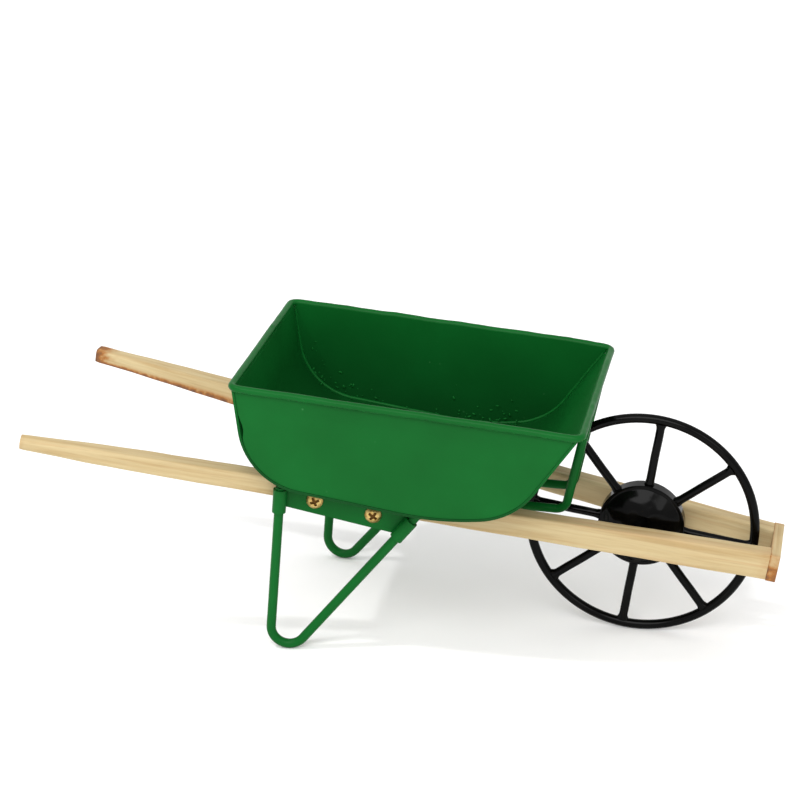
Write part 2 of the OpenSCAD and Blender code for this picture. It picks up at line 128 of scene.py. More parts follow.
# the darkest green here is painted shade, laid towards the tray's floor
green = {"deep": "#0A521D", "colour": "#0B561F", "fresh": "#0C5B22", "paintedShade": "#052A0E",
         "dust": "#4E8E5A", "pool": 14, "peel": 1.3, "nib": 2.6, "nibPatch": 7, "nibLift": 1.5,
         "smear": 4, "roughness": 0.33, "specular": 0.08, "peelDepth": 0.012}


def makeGreen():
    # Alkyd gloss enamel dipped over tinplate: one even green, softly waved gloss, odd dust nibs, and painted shade
    # that darkens it towards the tray's floor.
    # The low specular level keeps it deep while the whole studio round it is white.
    material, tree = newMaterial("greenEnamel")
    place = addNode(tree, "TexCoord", output="Object")
    pools = addNode(tree, "TexNoise", {
        "Vector": place, "Scale": scaleFor(green["pool"]), "Detail": 3})
    body = addNode(tree, "ValToRGB", {"Fac": pools}, stops=[
        (0.3, green["deep"]), (0.5, green["colour"]), (0.7, green["fresh"])])
    cells = addNode(tree, "TexVoronoi", {"Vector": place, "Scale": scaleFor(green["nib"])})
    spots = addNode(tree, "ValToRGB", {"Fac": cells}, stops=[(0.05, 1), (0.1, 0)])
    patches = addNode(tree, "TexNoise", {
        "Vector": place, "Scale": scaleFor(green["nibPatch"]), "Detail": 1})
    where = addNode(tree, "ValToRGB", {"Fac": patches}, stops=[(0.58, 0), (0.66, 1)])
    nibs = addNode(tree, "Math", {0: spots, 1: where}, operation="MULTIPLY")
    # painted shade: this attribute darkens the green towards the tray's floor, in place of the shade that falls
    # inside the tray
    paintedShade = addNode(tree, "Attribute", output="Fac", attribute_name="paintedShade")
    # a Mix node's colours are its inputs 6 and 7 and its output 2
    # the mix named thick lays that painted shade over the green; the enamel is no thicker there
    thick = addNode(tree, "Mix", {0: paintedShade, 6: body, 7: green["paintedShade"]}, 2, data_type="RGBA")
    faint = addNode(tree, "Math", {0: nibs, 1: 0.35}, operation="MULTIPLY")
    colour = addNode(tree, "Mix", {0: faint, 6: thick, 7: green["dust"]}, 2, data_type="RGBA")
    peel = addNode(tree, "TexNoise", {"Vector": place, "Scale": scaleFor(green["peel"])})
    lift = addNode(tree, "Math", {0: nibs, 1: green["nibLift"]}, operation="MULTIPLY")
    height = addNode(tree, "Math", {0: peel, 1: lift}, operation="ADD")
    smears = addNode(tree, "TexNoise", {
        "Vector": place, "Scale": scaleFor(green["smear"]), "Detail": 3})
    rough = addNode(tree, "MapRange", {"Value": smears, "To Min": green["roughness"] - 0.07,
                                       "To Max": green["roughness"] + 0.09})
    bump = addNode(tree, "Bump", {"Height": height, "Distance": green["peelDepth"] * mm})
    shader = addNode(tree, "BsdfPrincipled", {
        "Base Color": colour, "Roughness": rough, "IOR": 1.5,
        "Specular IOR Level": green["specular"], "Normal": bump})
    addNode(tree, "OutputMaterial", {"Surface": shader})
    return material


black = {"colour": "#020202", "worn": "#080807", "patch": 5, "peel": 0.9, "smear": 2.5,
         "roughness": 0.1, "specular": 0.09, "peelDepth": 0.012}


def makeBlack():
    # Black gloss enamel on cast wheel metal: near-black, small sharp highlights, thick at joints.
    material, tree = newMaterial("blackEnamel")
    place = addNode(tree, "TexCoord", output="Object")
    patches = addNode(tree, "TexNoise", {
        "Vector": place, "Scale": scaleFor(black["patch"]), "Detail": 3})
    colour = addNode(tree, "ValToRGB", {"Fac": patches}, stops=[
        (0.45, black["colour"]), (0.75, black["worn"])])
    smears = addNode(tree, "TexNoise", {
        "Vector": place, "Scale": scaleFor(black["smear"]), "Detail": 3})
    rough = addNode(tree, "MapRange", {"Value": smears, "To Min": black["roughness"] - 0.05,
                                       "To Max": black["roughness"] + 0.12})
    peel = addNode(tree, "TexNoise", {"Vector": place, "Scale": scaleFor(black["peel"])})
    bump = addNode(tree, "Bump", {"Height": peel, "Distance": black["peelDepth"] * mm})
    shader = addNode(tree, "BsdfPrincipled", {
        "Base Color": colour, "Roughness": rough, "IOR": 1.5,
        "Specular IOR Level": black["specular"], "Normal": bump})
    addNode(tree, "OutputMaterial", {"Surface": shader})
    return material


wood = {"pale": "#BEAB80", "colour": "#B6A074", "late": "#AA9061", "pink": "#B58A5C",
        "stain": "#6E421C", "burn": "#3A2110", "glow": "#985F1C", "ring": 0.85, "pore": 0.16,
        "streak": 2.2, "blotch": 1.1, "stretch": 26, "roughness": 0.58, "grainDepth": 0.035}


def makeWood():
    # Bare planed basswood: pale, dry and silky, fine lengthwise grain, pink streaks, browned ends.
    material, tree = newMaterial("bareWood")
    place = addNode(tree, "Attribute", output="Vector", attribute_name="grain")
    stain = addNode(tree, "Attribute", output="Fac", attribute_name="stain")
    lengthwise = addNode(tree, "Mapping", {"Vector": place, "Scale": (1 / wood["stretch"], 1, 1)})
    rings = addNode(tree, "TexNoise", {
        "Vector": lengthwise, "Scale": scaleFor(wood["ring"]), "Detail": 3, "Distortion": 0.4})
    body = addNode(tree, "ValToRGB", {"Fac": rings}, stops=[
        (0.3, wood["late"]), (0.47, wood["colour"]), (0.68, wood["pale"])])
    pores = addNode(tree, "TexNoise", {"Vector": lengthwise, "Scale": scaleFor(wood["pore"])})
    lines = addNode(tree, "ValToRGB", {"Fac": pores}, stops=[(0.3, 0.9), (0.5, 1)])
    grained = addNode(tree, "Mix", {0: 0.8, 6: body, 7: lines}, 2, data_type="RGBA",
                      blend_type="MULTIPLY")
    bands = addNode(tree, "TexNoise", {
        "Vector": lengthwise, "Scale": scaleFor(wood["streak"]), "Distortion": 0.8})
    streaks = addNode(tree, "ValToRGB", {"Fac": bands}, stops=[(0.56, 0), (0.74, 0.4)])
    colour = addNode(tree, "Mix", {0: streaks, 6: grained, 7: wood["pink"]}, 2, data_type="RGBA")
    blotches = addNode(tree, "TexNoise", {
        "Vector": place, "Scale": scaleFor(wood["blotch"]), "Detail": 4})
    uneven = addNode(tree, "MapRange", {
        "Value": blotches, "From Min": 0.3, "From Max": 0.6, "To Min": 0.45, "To Max": 1.15})
    soaked = addNode(tree, "Math", {0: stain, 1: uneven}, operation="MULTIPLY")
    # the stain goes from amber through brown to burnt as it soaks in deeper
    for shade, stops in (("glow", [(0, 0), (0.5, 1)]), ("stain", [(0.45, 0), (0.8, 0.9)]),
                         ("burn", [(0.85, 0), (1, 0.7)])):
        amount = addNode(tree, "ValToRGB", {"Fac": soaked}, stops=stops)
        colour = addNode(tree, "Mix", {0: amount, 6: colour, 7: wood[shade]}, 2, data_type="RGBA")
    rough = addNode(tree, "MapRange", {"Value": rings, "To Min": wood["roughness"] - 0.05,
                                       "To Max": wood["roughness"] + 0.12})
    height = addNode(tree, "Math", {0: rings, 1: pores}, operation="ADD")
    bump = addNode(tree, "Bump", {"Height": height, "Distance": wood["grainDepth"] * mm})
    shader = addNode(tree, "BsdfPrincipled", {
        "Base Color": colour, "Roughness": rough, "IOR": 1.5, "Normal": bump})
    addNode(tree, "OutputMaterial", {"Surface": shader})
    return material


brass = {"colour": "#D2B674", "deep": "#AE8A48", "grime": "#5E3E1A", "patch": 0.8,
         "scratch": 0.25, "roughness": 0.32, "scratchDepth": 0.012}


def makeBrass():
    # Lacquered brass-plated steel: warm metal with faint turning marks, grime and painted shade in the cross.
    material, tree = newMaterial("brass")
    place = addNode(tree, "TexCoord", output="Object")
    stain = addNode(tree, "Attribute", output="Fac", attribute_name="stain")
    patches = addNode(tree, "TexNoise", {
        "Vector": place, "Scale": scaleFor(brass["patch"]), "Detail": 4})
    metal = addNode(tree, "ValToRGB", {"Fac": patches}, stops=[
        (0.3, brass["deep"]), (0.6, brass["colour"])])
    # on the screws the stain mask is grime with painted shade, darkening the cross recess and the head's edge
    colour = addNode(tree, "Mix", {0: stain, 6: metal, 7: brass["grime"]}, 2, data_type="RGBA")
    polish = addNode(tree, "MapRange", {"Value": patches, "To Min": brass["roughness"] - 0.08,
                                        "To Max": brass["roughness"] + 0.12})
    dull = addNode(tree, "Math", {0: stain, 1: 0.3}, operation="MULTIPLY")
    rough = addNode(tree, "Math", {0: polish, 1: dull}, operation="ADD")
    scratches = addNode(tree, "TexNoise", {
        "Vector": place, "Scale": scaleFor(brass["scratch"]), "Detail": 3})
    bump = addNode(tree, "Bump", {"Height": scratches, "Distance": brass["scratchDepth"] * mm})
    shader = addNode(tree, "BsdfPrincipled", {
        "Base Color": colour, "Metallic": 1, "Roughness": rough, "Normal": bump})
    addNode(tree, "OutputMaterial", {"Surface": shader})
    return material


greenEnamel = makeGreen()
blackEnamel = makeBlack()
bareWood = makeWood()
brassPlate = makeBrass()
print("materials made")


# Mesh helpers

def follow(bm, geom, place, heading, stretches, stepSize):
    # sweeps geom along straight runs (length, 0) and left turns (degrees, radius) in the XZ plane
    for amount, radius in stretches:
        if radius:
            centre = place + toward(heading + 90) * radius
            steps = max(2, round(radians(amount) * radius / stepSize))
            swept = bmesh.ops.spin(bm, geom=geom, cent=centre, axis=(0, -1, 0),
                                   angle=radians(amount), steps=steps)
            heading += amount
            place = centre + toward(heading - 90) * radius
        else:
            steps = max(1, round(amount / stepSize))
            swept = bmesh.ops.spin(bm, geom=geom, cent=place, axis=(0, -1, 0), angle=0,
                                   dvec=toward(heading) * amount / steps, steps=steps)
            place = place + toward(heading) * amount
        geom = swept["geom_last"]
    return geom


def finishPiece(bm, name, body, material, replaced=(), crease=40):
    bmesh.ops.scale(bm, vec=(mm, mm, mm), verts=bm.verts)
    bmesh.ops.recalc_face_normals(bm, faces=bm.faces)
    mesh = bpy.data.meshes.new(name)
    bm.to_mesh(mesh)
    bm.free()
    mesh.materials.append(material)
    mesh.shade_smooth()
    mesh.set_sharp_from_angle(angle=radians(crease))
    piece = bpy.data.objects.new(name, mesh)
    scene.collection.objects.link(piece)
    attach(piece, body)
    if replaced:
        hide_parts(*replaced)
    return piece


def boundaryEdges(bm):
    return [edge for edge in bm.edges if edge.is_boundary]


def partsOf(result, kind):
    # the vertices or edges among what an extrusion gives back
    return [item for item in result["geom"] if isinstance(item, kind)]


def roundBar(bm, radius, segments, start, length, steps):
    # an open tube along +X, in equal steps
    turned = Matrix.Rotation(pi / 2, 4, "Y")
    ring = bmesh.ops.create_circle(bm, segments=segments, radius=radius,
                                   matrix=Matrix.Translation(start) @ turned)
    bmesh.ops.spin(bm, geom=ring["verts"] + bm.edges[:], cent=(0, 0, 0), axis=(0, -1, 0), angle=0,
                   dvec=(length / steps, 0, 0), steps=steps)


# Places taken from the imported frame

axle = Vector(frame["joints"][0]["pos_m"]) / mm
floorPlace, floorUp = mountPlace("tray_floor")
nosePlace, noseForward = mountPlace("nose_face")
gripPlace, _ = mountPlace("handle_grips")
noseUp = Vector((-noseForward.z, 0, noseForward.x))
pitchSlope = -noseForward.z / noseForward.x

tray = {"width": 48.8, "sheet": 0.5, "floorLength": 18.8, "rearBend": 13.1, "rearLean": 15.4,
        "bellyRadius": 56.5, "bellyTurn": 15.6, "frontBend": 14.2, "frontLean": 26.8,
        "rearRim": 18.1, "frontRim": 22.2, "dentDepth": 0.35, "dentWidth": 5.5, "waver": 0.09}
bead = {"width": 1.4, "lap": 0.08, "corner": 1.7, "waver": 0.12, "nubHeight": 0.14,
        "nubWidth": 1.1}
seam = {"radius": 0.32, "lump": 0.2, "inset": 0.6, "grains": 90, "grainSize": 0.2,
        "gapHeight": 10.5, "gapLength": 1.7, "gapWidth": 0.6}

# The tray's own frame: X along the flat floor, Z square to it, from the floor's rear end.
floorAlong = Vector((floorUp.z, 0, -floorUp.x))
trayOrigin = floorPlace - floorAlong * tray["floorLength"] / 2 - floorUp * tray["sheet"]
trayMatrix = Matrix((
    (floorAlong.x, 0, floorUp.x, trayOrigin.x),
    (0, 1, 0, 0),
    (floorAlong.z, 0, floorUp.z, trayOrigin.z),
    (0, 0, 0, 1)))

rearCentre = Vector((0, 0, tray["rearBend"]))
bellyCentre = Vector((tray["floorLength"], 0, tray["bellyRadius"]))
frontReach = tray["bellyRadius"] - tray["frontBend"]
frontCentre = bellyCentre + toward(tray["bellyTurn"] - 90) * frontReach
beadRadius = bead["width"] / 2
beadOut = beadRadius - bead["lap"] - tray["sheet"]


def wallTop(foot, angle, height):
    # the point on a wall that leaves its foot at this angle, at this height above the floor
    return foot + toward(angle) * (height - foot.z) / sin(radians(angle))


def rearFoot(inset):
    return rearCentre + toward(180 + tray["rearLean"]) * (tray["rearBend"] - inset)


def frontFoot(inset):
    return frontCentre + toward(-tray["frontLean"]) * (tray["frontBend"] - inset)


rearBead = wallTop(rearFoot(-beadOut), 90 + tray["rearLean"], tray["rearRim"])
frontBead = wallTop(frontFoot(-beadOut), 90 - tray["frontLean"], tray["frontRim"])
rimLine = frontBead - rearBead


def trayStretches(inset, below):
    # the tray's outline at this depth inside the sheet, from the rear rim to the front rim
    rearTop = wallTop(rearFoot(inset), 90 + tray["rearLean"], tray["rearRim"] - below)
    frontTop = wallTop(frontFoot(inset), 90 - tray["frontLean"], tray["frontRim"] - below)
    return rearTop, [
        ((rearTop - rearFoot(inset)).length, 0),
        (90 - tray["rearLean"], tray["rearBend"] - inset),
        (tray["floorLength"], 0),
        (tray["bellyTurn"], tray["bellyRadius"] - inset),
        (90 - tray["bellyTurn"] - tray["frontLean"], tray["frontBend"] - inset),
        ((frontTop - frontFoot(inset)).length, 0)]


def knock(point):
    # the left front corner of the rim is bent down a little, as if the barrow had been dropped
    corner = Vector((frontBead.x, tray["width"] / 2, frontBead.z))
    return -tray["dentDepth"] * bell((point - corner).length, tray["dentWidth"])


def ripple(point, size, seed):
    return noise.noise(point / size + Vector((seed, seed, seed)))


def markPaintedShade(bm):
    # painted shade: the green is darkened towards the tray's floor, standing in for the shade inside the tray; the
    # enamel is no thicker there
    paintedShade = bm.verts.layers.float.new("paintedShade")
    for vert in bm.verts:
        vert[paintedShade] = 0.1 + 0.5 * smooth(vert.co.z, 15, 2)


def placeOnTray(bm):
    for vert in bm.verts:
        vert.co.z += knock(vert.co)
    bmesh.ops.transform(bm, matrix=trayMatrix, verts=bm.verts)


def makeWrap():
    bm = bmesh.new()
    half = tray["width"] / 2
    rearTop, stretches = trayStretches(tray["sheet"] / 2, 0)
    start = bmesh.ops.create_vert(bm, co=rearTop - Vector((0, half, 0)))["vert"]
    bmesh.ops.spin(bm, geom=start, cent=rearTop, axis=(1, 0, 0), angle=0,
                   dvec=(0, tray["width"] / 48, 0), steps=48)
    heading = tray["rearLean"] - 90
    follow(bm, bm.verts[:] + bm.edges[:], rearTop, heading, stretches, 0.9)
    bmesh.ops.remove_doubles(bm, verts=bm.verts, dist=0.01)
    for vert in bm.verts:
        inwards = (half - abs(vert.co.y)) / half
        middle = Vector((tray["floorLength"] / 2, 0, tray["bellyRadius"])) - vert.co
        push = tray["waver"] * ripple(vert.co, 9, 3) * smooth(inwards, 0, 0.2)
        vert.co += Vector((middle.x, 0, middle.z)).normalized() * push
    # painted shade towards the floor, on the wrap's inner and outer faces alike
    markPaintedShade(bm)
    placeOnTray(bm)
    piece = finishPiece(bm, "trayWrap", "barrow", greenEnamel, ["tray_wrap"])
    thick = piece.modifiers.new("thick", "SOLIDIFY")
    thick.thickness = tray["sheet"] * mm
    thick.offset = 0
    edges = piece.modifiers.new("edges", "BEVEL")
    edges.width = 0.1 * mm
    edges.segments = 2
    return piece


def makeSide(side, node, name, recess):
    # a flat panel that sits inside the wrap, its face a little way in from the wrap's edge
    bm = bmesh.new()
    rearTop, stretches = trayStretches(tray["sheet"] + 0.02, 0)
    outer = side * (tray["width"] / 2 - recess)
    start = bmesh.ops.create_vert(bm, co=rearTop + Vector((0, outer, 0)))["vert"]
    follow(bm, start, rearTop, tray["rearLean"] - 90, stretches, 0.8)
    bmesh.ops.remove_doubles(bm, verts=bm.verts, dist=0.01)
    ends = [vert for vert in bm.verts if len(vert.link_edges) == 1]
    closing = bmesh.ops.contextual_create(bm, geom=ends)["edges"]
    bmesh.ops.subdivide_edges(bm, edges=closing, cuts=60)  # so that the rim's dent can bend it
    face = bmesh.ops.edgeloop_fill(bm, edges=bm.edges)["faces"]
    bmesh.ops.inset_region(bm, faces=face, thickness=0.25, depth=0)
    bmesh.ops.triangulate(bm, faces=face)
    deep = bmesh.ops.extrude_face_region(bm, geom=bm.faces[:])
    bmesh.ops.translate(bm, vec=(0, -side * (tray["sheet"] - 0.02), 0),
                        verts=partsOf(deep, bmesh.types.BMVert))
    if side < 0:
        # the soldering missed a short stretch of this panel's rear edge, which stands open
        for vert in bm.verts:
            if vert.co.x < rearFoot(0).x + 1.5:
                off = vert.co.z - seam["gapHeight"]
                vert.co.x += seam["gapWidth"] * bell(off, seam["gapLength"])
    # the left panel also gets the painted shade towards the floor
    if side > 0:
        markPaintedShade(bm)
    placeOnTray(bm)
    return finishPiece(bm, name, "barrow", greenEnamel, [node])


def makeBead():
    bm = bmesh.new()
    half = tray["width"] / 2 + beadOut
    corner = bead["corner"]
    start = Vector((corner, 0, -half))
    turned = Matrix.Rotation(pi / 2, 4, "Y")
    ring = bmesh.ops.create_circle(bm, segments=16, radius=beadRadius,
                                   matrix=Matrix.Translation(start) @ turned)
    sideRun = (rimLine.length - 2 * corner, 0)
    endRun = (2 * (half - corner), 0)
    turn = (90, corner)
    follow(bm, ring["verts"] + bm.edges[:], start, 0,
           [sideRun, turn, endRun, turn, sideRun, turn, endRun, turn], 0.7)
    bmesh.ops.remove_doubles(bm, verts=bm.verts, dist=0.01)
    bmesh.ops.rotate(bm, cent=(0, 0, 0), matrix=Matrix.Rotation(pi / 2, 3, "X"), verts=bm.verts)
    slope = atan2(rimLine.z, rimLine.x)
    bmesh.ops.rotate(bm, cent=(0, 0, 0), matrix=Matrix.Rotation(-slope, 3, "Y"), verts=bm.verts)
    bmesh.ops.translate(bm, vec=rearBead, verts=bm.verts)
    nubs = [Vector((rearBead.x, 8, rearBead.z + 0.6)), Vector((20, -half, rearBead.z + 1.2)),
            Vector((6, half, rearBead.z + 1.3)), Vector((frontBead.x, -9, frontBead.z + 0.5))]
    for vert in bm.verts:
        vert.co.z += bead["waver"] * ripple(vert.co, 7, 11) + 0.05 * ripple(vert.co, 1.6, 5)
        vert.co.y += 0.7 * bead["waver"] * ripple(vert.co, 9, 17)
        for nub in nubs:
            vert.co.z += bead["nubHeight"] * bell((vert.co - nub).length, bead["nubWidth"])
    placeOnTray(bm)
    return finishPiece(bm, "trayBead", "barrow", greenEnamel, ["tray_rim_bead"],
                       60)


def makeSeam(side, name):
    # a solder fillet in the corner between a side panel and the wrap, flooded with enamel
    bm = bmesh.new()
    rearTop, stretches = trayStretches(seam["inset"], 1.2)
    place = rearTop + Vector((0, side * (tray["width"] / 2 - seam["inset"] - 0.06), 0))
    heading = tray["rearLean"] - 90
    turned = Matrix.Rotation(radians(90 - heading), 4, "Y")
    ring = bmesh.ops.create_circle(bm, segments=10, radius=seam["radius"],
                                   matrix=Matrix.Translation(place) @ turned)
    follow(bm, ring["verts"] + bm.edges[:], rearTop, heading, stretches, 0.5)
    bmesh.ops.remove_doubles(bm, verts=bm.verts, dist=0.01)
    bmesh.ops.holes_fill(bm, edges=boundaryEdges(bm))
    for vert in bm.verts:
        vert.co += Vector((0, -side, 0.6)) * seam["lump"] * max(0, ripple(vert.co, 1.3, 7))
        if side < 0 and vert.co.x < rearFoot(0).x + 1.5:
            off = vert.co.z - seam["gapHeight"]
            vert.co += Vector((1.2, 1.2, 0)) * bell(off, seam["gapLength"])
    placeOnTray(bm)
    return finishPiece(bm, name, "barrow", greenEnamel, (), 80)


def makeGrains():
    # crumbs of solder and dust caught in the enamel along the left seam and on the floor beside it
    random.seed(12)
    bm = bmesh.new()
    inset = tray["sheet"] + 0.1
    panel = tray["width"] / 2 - inset
    for _ in range(seam["grains"]):
        # most grains sit in two drifts, one at each end of the flat floor
        share = random.choice((random.gauss(0.3, 0.14), random.gauss(0.82, 0.09)))
        up = inset + random.expovariate(0.9)
        if share < 0.42:
            bend = 270 - (0.42 - share) * 190
            place = rearCentre + toward(bend) * (tray["rearBend"] - up)
        elif share < 0.7:
            place = Vector((tray["floorLength"] * (share - 0.42) / 0.28, 0, up))
        else:
            bend = tray["bellyTurn"] * min(1, (share - 0.7) / 0.22) - 90
            place = bellyCentre + toward(bend) * (tray["bellyRadius"] - up)
        place.y = panel - random.choice((0, 0, random.expovariate(0.8)))
        size = seam["grainSize"] * random.uniform(0.4, 1.3)
        shape = Matrix.Translation(place) @ Matrix.Rotation(random.uniform(0, pi), 4, "Y") \
            @ Matrix.Diagonal((random.uniform(1, 2.6), random.uniform(0.6, 1), 1, 1))
        bmesh.ops.create_icosphere(bm, subdivisions=1, radius=size, matrix=shape)
    placeOnTray(bm)
    return finishPiece(bm, "trayGrains", "barrow", greenEnamel, (), 80)


makeWrap()
makeSide(-1, "tray_side_right", "traySideRight", 0.2)
makeSide(1, "tray_side_left", "traySideLeft", 0.12)
makeBead()
makeSeam(-1, "seamRight")
makeSeam(1, "seamLeft")
makeGrains()
print("tray made")


shaft = {"width": 3.9, "frontDepth": 5.4, "rearDepth": 3.0, "gripLength": 30, "gripWidth": 3.1,
         "spread": 48.4, "edge": 9, "screwUp": 2.25, "plateSlope": 13.8, "waver": 0.07,
         "tipRound": 0.05, "bellyAt": -34}
cross = {"thick": 1.9, "depth": 5.3, "edge": 0.16}

crossLow, crossHigh = boxOf("front_crosspiece")
crossWidth = crossHigh.y - crossLow.y
rearX = gripPlace.x
frontX = nosePlace.x - cross["thick"] * noseForward.x
noseY = (crossWidth - shaft["width"]) / 2
splaySlope = (shaft["spread"] / 2 - noseY) / (frontX - rearX)


def shaftDepth(x):
    t = (x - rearX) / (frontX - rearX)
    return shaft["rearDepth"] + (shaft["frontDepth"] - shaft["rearDepth"]) * t


def shaftMiddle(x):
    # the height of a shaft's middle line, which slopes down to the nose
    return axle.z - pitchSlope * (x - axle.x)


def bracketPad(x, rearScrew, frontScrew):
    # how much deeper a shaft is left behind its bracket, for the screws to bite
    slope = tan(radians(shaft["plateSlope"]))
    padLow = rearScrew.z - shaft["screwUp"] - slope * (x - rearScrew.x)
    fromRear = smooth(x, rearScrew.x - 5.5, rearScrew.x - 3)
    fromFront = smooth(x, frontScrew.x + 6, frontScrew.x + 3)
    return max(0, shaftMiddle(x) - shaftDepth(x) / 2 - padLow) * fromRear * fromFront


def superellipse(across, up, power):
    # moves a point of a round disc out to a squarer outline, its points drawn to the corners
    angle = atan2(up, across)
    quarter = (angle % (pi / 2)) / (pi / 4) - 1
    eased = (abs(quarter) ** 1.5) * (1 if quarter > 0 else -1)
    angle = (angle // (pi / 2)) * (pi / 2) + (eased + 1) * pi / 4
    c, s = cos(angle), sin(angle)
    size = hypot(across, up) / (abs(c) ** power + abs(s) ** power) ** (1 / power)
    return c * size, s * size


def makeShaft(side, name, node, tipPower, screws, blotchy, belly):
    # a planed square bar, deeper behind its bracket and worked round towards the handle end
    bm = bmesh.new()
    grain = bm.verts.layers.float_vector.new("grain")
    stain = bm.verts.layers.float.new("stain")
    rearScrew, frontScrew = [middleOf(screw) for screw in screws]
    roundBar(bm, 1, 56, (0, 0, 0), 1, 150)
    ends = bmesh.ops.holes_fill(bm, edges=boundaryEdges(bm))["faces"]
    for face in ends:
        bmesh.ops.inset_individual(bm, faces=[face], thickness=0.4, depth=0)
    splay = atan2(splaySlope, 1)
    for vert in bm.verts:
        t, across, up = vert.co
        x = rearX + (frontX - rearX) * t
        handle = 1 - smooth(x, rearX, rearX + shaft["gripLength"])
        power = tipPower + (shaft["edge"] - tipPower) * (1 - handle)
        px, pz = superellipse(across, up, power)
        tipRound = 1 - shaft["tipRound"] * (1 - smooth(x, rearX, rearX + 0.8)) ** 2
        slimming = (shaft["width"] - shaft["gripWidth"]) * handle ** 2
        width = (shaft["width"] - slimming) * tipRound
        depth = shaftDepth(x) * tipRound
        mine = splay * (1 - smooth(x, 0, frontX))
        lateral = Vector((side * sin(mine), cos(mine), 0)) / cos(splay - mine)
        low = 0
        if pz < 0:
            low = bracketPad(x, rearScrew, frontScrew) + belly * bell(x - shaft["bellyAt"], 17)
        centre = Vector((x, side * (noseY + splaySlope * (frontX - x)), shaftMiddle(x)))
        worn = ripple(Vector((x, px * 2 + side * 9, pz * 2)), 6, 23)
        edgeWear = shaft["waver"] * worn * smooth(frontX - x, 0, 3)
        vert.co = centre + lateral * (px * (width / 2 + edgeWear)) \
            + noseUp * (pz * (depth / 2 * noseForward.x + edgeWear + low))
        vert[grain] = Vector((x + 40 * side, px * width / 2 + 7 * side, pz * depth / 2)) * mm
        if blotchy:
            ragged = 2.5 * ripple(Vector((px * 3, pz * 3, x)), 1.5, 2)
            nearTip = 1 - smooth(x, rearX - 0.5, rearX + 4.5 + ragged)
            band = smooth(-pz, 0.15, 0.8) * (1 - smooth(x, rearX + 26, rearX + 46)) * 0.85
            vert[stain] = max(nearTip * 0.85, band)
        else:
            tip = 1 - smooth(x, rearX, rearX + 0.7)
            vert[stain] = 0.1 * tip + 0.12 * bell(x - frontX, 1.5)
    bmesh.ops.remove_doubles(bm, verts=bm.verts, dist=0.001)
    return finishPiece(bm, name, "barrow", bareWood, [node], 50)


def makeCross():
    # a sawn strip glued across the shafts' ends, with softened edges and browned end grain
    bm = bmesh.new()
    grain = bm.verts.layers.float_vector.new("grain")
    stain = bm.verts.layers.float.new("stain")
    bmesh.ops.create_cube(bm, size=1)
    bmesh.ops.scale(bm, vec=(cross["thick"], crossWidth, cross["depth"]), verts=bm.verts)
    bmesh.ops.bevel(bm, geom=bm.edges[:], offset=cross["edge"], offset_type="OFFSET",
                    affect="EDGES", segments=3, profile=0.5, material=-1)
    long = [edge for edge in bm.edges if edge.calc_length() > 1]
    bmesh.ops.subdivide_edges(bm, edges=long, cuts=12, use_grid_fill=True)
    for vert in bm.verts:
        x, y, z = vert.co
        vert[grain] = Vector((y + 90, x + 3, z)) * mm
        ends = smooth(abs(y), crossWidth / 2 - 0.5, crossWidth / 2 - 0.05)
        lowHalf = smooth(z, 0.5, -0.3)
        glueLine = bell(x + cross["thick"] / 2, 0.25)
        vert[stain] = ends * (0.22 + 0.42 * lowHalf) + 0.3 * glueLine
        vert.co += Vector((0.03, 0, 0.05)) * ripple(vert.co, 3, 31)
    turned = Matrix((
        (noseForward.x, 0, noseUp.x), (0, 1, 0), (noseForward.z, 0, noseUp.z))).to_4x4()
    middle = nosePlace - noseForward * cross["thick"] / 2
    bmesh.ops.transform(bm, matrix=Matrix.Translation(middle) @ turned, verts=bm.verts)
    return finishPiece(bm, "crosspiece", "barrow", bareWood, ["front_crosspiece"], 50)


makeShaft(-1, "shaftRight", "shaft_right", 2, ["screw_rear_right", "screw_front_right"],
          blotchy=False, belly=0)
makeShaft(1, "shaftLeft", "shaft_left", 4.5, ["screw_rear_left", "screw_front_left"],
          blotchy=True, belly=0.6)
makeCross()
print("wood made")


screw = {"head": 3.2, "height": 0.95, "edge": 0.15, "shank": 1.3, "bite": 2.6, "plate": 0.4,
         "armLength": 1.8, "armWidth": 0.4, "deep": 0.34, "turns": [20, 52, 8, 75]}


